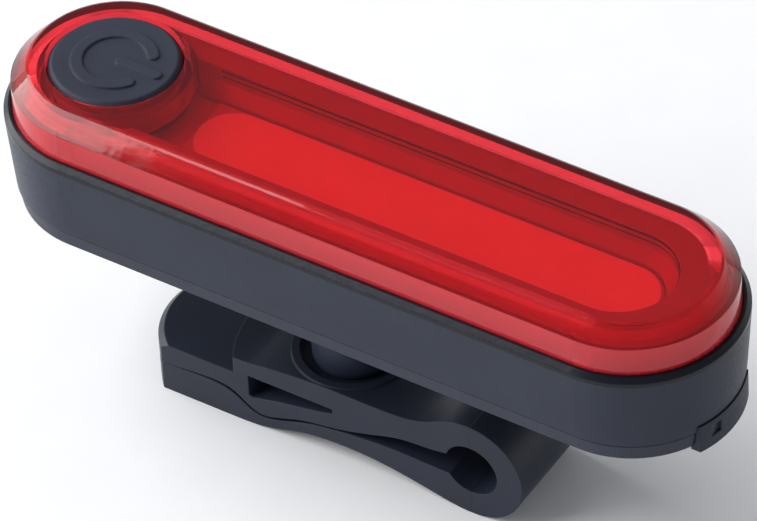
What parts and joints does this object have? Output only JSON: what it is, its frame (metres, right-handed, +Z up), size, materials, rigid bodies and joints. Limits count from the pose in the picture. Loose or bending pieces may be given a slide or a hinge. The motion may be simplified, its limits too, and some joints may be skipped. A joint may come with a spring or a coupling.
{
  "type": "bicycle rear light",
  "caption": "Long round-ended bicycle rear light with a bevelled red lens, push button, charging socket cover and swivelling spring clip.",
  "frame": {"origin": "under the middle of the lamp, on the surface that the closed clip stands on", "axes": "+X along the lamp to its charging end, +Y across it, +Z up to the lens"},
  "size_m": [0.078, 0.022, 0.0343],
  "materials": {
    "housing_plastic": "fine satin texture",
    "cover_plastic": "fine satin texture",
    "clip_plastic": "satin, slightly sandy texture",
    "button_rubber": "smooth matte silicone",
    "cover_rubber": "matte silicone",
    "seal_rubber": "matte silicone",
    "red_lens": "polished clear red polycarbonate",
    "white_plastic": "glossy white",
    "white_board": "white solder mask",
    "phosphor": "soft cured silicone coat",
    "black_plastic": "moulded",
    "foam": "closed foam",
    "cell_foil": "laminated foil",
    "lead_tabs": "nickel strip",
    "brass_pins": "plated",
    "plated_steel": "plated"
  },
  "bodies": {
    "lamp": {"housing": "housing_plastic", "back_cover": "cover_plastic", "cover_seal": "seal_rubber", "lens": "red_lens", "lens_seal": "seal_rubber", "main_board": "white_board", "light_strip": "white_board", "phosphor_coat": "phosphor", "reflector": "white_plastic", "switch_body": "black_plastic", "controller_chip": "black_plastic", "board_components": "black_plastic", "battery_pad": "foam", "battery_cell": "cell_foil", "battery_leads": "lead_tabs", "charge_board": "white_board", "charge_chip": "black_plastic", "board_pins": "brass_pins", "usb_socket": "plated_steel", "usb_contacts": "black_plastic", "usb_cover_anchor": "cover_rubber", "pivot_washer": "plated_steel", "pivot_screw": "plated_steel"},
    "button": {"power_button": "button_rubber"},
    "plunger": {"switch_plunger": "white_plastic"},
    "socket_cover": {"usb_cover": "cover_rubber"},
    "clip": {"clip_upper_leaf": "clip_plastic", "clip_spring_bend": "clip_plastic"},
    "jaw": {"clip_lower_leaf": "clip_plastic"}
  },
  "joints": [
    {"name": "button_press", "type": "slide", "parent": "lamp", "child": "button", "axis": [0, 0, -1], "range_m": [0, 0.0005], "stiffness_N_per_m": 1500},
    {"name": "plunger_press", "type": "slide", "parent": "lamp", "child": "plunger", "axis": [0, 0, -1], "range_m": [0, 0.0005], "stiffness_N_per_m": 10},
    {"name": "socket_cover_swing", "type": "hinge", "parent": "lamp", "child": "socket_cover", "pos_m": [0.0376, 0.00445, 0.0195], "axis": [0, 0, 1], "range_deg": [0, 110]},
    {"name": "clip_swivel", "type": "hinge", "parent": "lamp", "child": "clip", "pos_m": [-0.003, 0, 0.0081], "axis": [0, 0, 1], "continuous": true},
    {"name": "jaw_open", "type": "hinge", "parent": "clip", "child": "jaw", "pos_m": [0.0136, 0, 0.0056], "axis": [0, -1, 0], "range_deg": [0, 10], "stiffness_Nm_per_rad": 2, "deforming": ["clip_spring_bend"]}
  ],
  "couplings": [
    {"joint": "plunger_press", "follows": "button_press", "ratio": 1}
  ]
}
